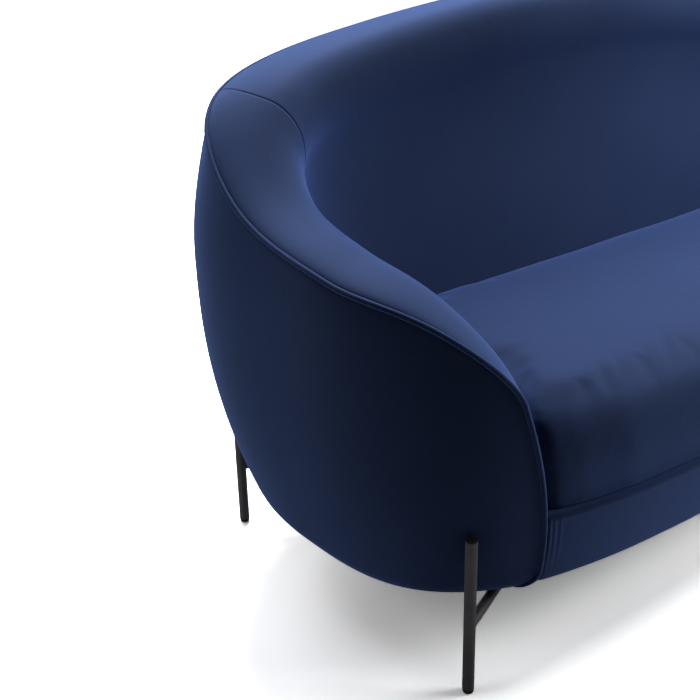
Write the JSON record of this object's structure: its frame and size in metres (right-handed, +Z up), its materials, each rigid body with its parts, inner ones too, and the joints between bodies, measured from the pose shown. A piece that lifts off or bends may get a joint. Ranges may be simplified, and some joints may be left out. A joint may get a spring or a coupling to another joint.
{
  "type": "tub sofa",
  "caption": "Barrel-shaped upholstered tub sofa with a piped rolled rim, one loose seat cushion and four outboard round metal posts on angled bars.",
  "frame": {"origin": "on the floor under the middle of the sofa", "axes": "+Z up, the seat faces -Y, +X to the right along the sofa's length"},
  "size_m": [1.8002, 0.8298, 0.907],
  "materials": {
    "velvet": "short-pile cotton velvet, navy blue",
    "piping": "velvet-covered cord",
    "lining": "plain black lining cloth",
    "foam": null,
    "webbing": "elasticated webbing",
    "plywood": "birch plywood",
    "timber": "softwood and beech rails",
    "black_steel": "dark grey satin powder coat",
    "screw_steel": "zinc plated",
    "glide_plastic": "moulded nylon",
    "cap_plastic": "moulded plastic"
  },
  "bodies": {
    "frame": {"arm_foam_left": "foam", "arm_foam_right": "foam", "back_foam": "foam", "base_ring": "plywood", "corner_blocks": "timber", "dust_cover": "lining", "foot_glides": "glide_plastic", "front_fascia": "plywood", "front_rail_cover": "velvet", "front_rail_padding": "foam", "inner_cover_back": "velvet", "inner_cover_left": "velvet", "inner_cover_right": "velvet", "leg_bar_front_left": "black_steel", "leg_bar_front_right": "black_steel", "leg_bar_rear_left": "black_steel", "leg_bar_rear_right": "black_steel", "leg_end_caps": "cap_plastic", "leg_plates": "black_steel", "leg_post_front_left": "black_steel", "leg_post_front_right": "black_steel", "leg_post_rear_left": "black_steel", "leg_post_rear_right": "black_steel", "outer_cover_back": "velvet", "outer_cover_left": "velvet", "outer_cover_right": "velvet", "outer_padding_back": "foam", "outer_padding_left": "foam", "outer_padding_right": "foam", "piping": "piping", "plate_screws": "screw_steel", "rib_back_centre": "plywood", "rib_left_corner": "plywood", "rib_left_front": "plywood", "rib_left_middle": "plywood", "rib_left_rear": "plywood", "rib_right_corner": "plywood", "rib_right_front": "plywood", "rib_right_middle": "plywood", "rib_right_rear": "plywood", "seat_deck_cover": "lining", "seat_frame_back": "timber", "seat_frame_centre": "timber", "seat_frame_front": "timber", "seat_frame_left": "timber", "seat_frame_right": "timber", "top_rail_back": "timber", "top_rail_left": "timber", "top_rail_right": "timber", "webbing_cross": "webbing", "webbing_long": "webbing"},
    "seat_cushion": {"seat_cushion_base": "lining", "seat_cushion_cover": "velvet", "seat_cushion_foam": "foam"}
  },
  "joints": [
    {"name": "seat_cushion_lift", "type": "slide", "parent": "frame", "child": "seat_cushion", "axis": [0, 0, 1], "range_m": [0, 0.5]}
  ]
}
